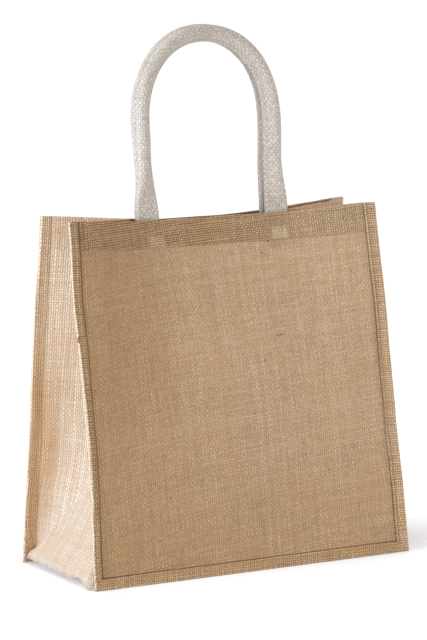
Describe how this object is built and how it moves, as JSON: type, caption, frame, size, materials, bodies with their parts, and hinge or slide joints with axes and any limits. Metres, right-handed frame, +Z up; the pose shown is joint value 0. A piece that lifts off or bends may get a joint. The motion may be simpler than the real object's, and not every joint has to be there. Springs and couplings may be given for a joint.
{
  "type": "tote bag",
  "caption": "Upright jute tote bag with folded side gussets, edge-bound seams, a hemmed mouth drawn together in the middle and stout folded cotton loop handles.",
  "frame": {"origin": "on the floor below the middle of the bag's bounding box", "axes": "+Z up to the handles, +X along the wide panels to the right as seen from the front, the front panel faces -Y"},
  "size_m": [0.3004, 0.1426, 0.4536],
  "materials": {
    "front_panel": "plain-weave jute, matt, with slubs and flecks",
    "back_panel": "plain-weave jute, matt, with slubs and flecks",
    "gusset": "plain-weave jute, matt",
    "front_handle": "undyed cotton webbing, matt",
    "back_handle": "undyed cotton webbing, matt"
  },
  "bodies": {
    "root": {"front_panel": "front_panel", "back_panel": "back_panel", "gusset": "gusset", "front_handle": "front_handle", "back_handle": "back_handle"}
  },
  "joints": []
}
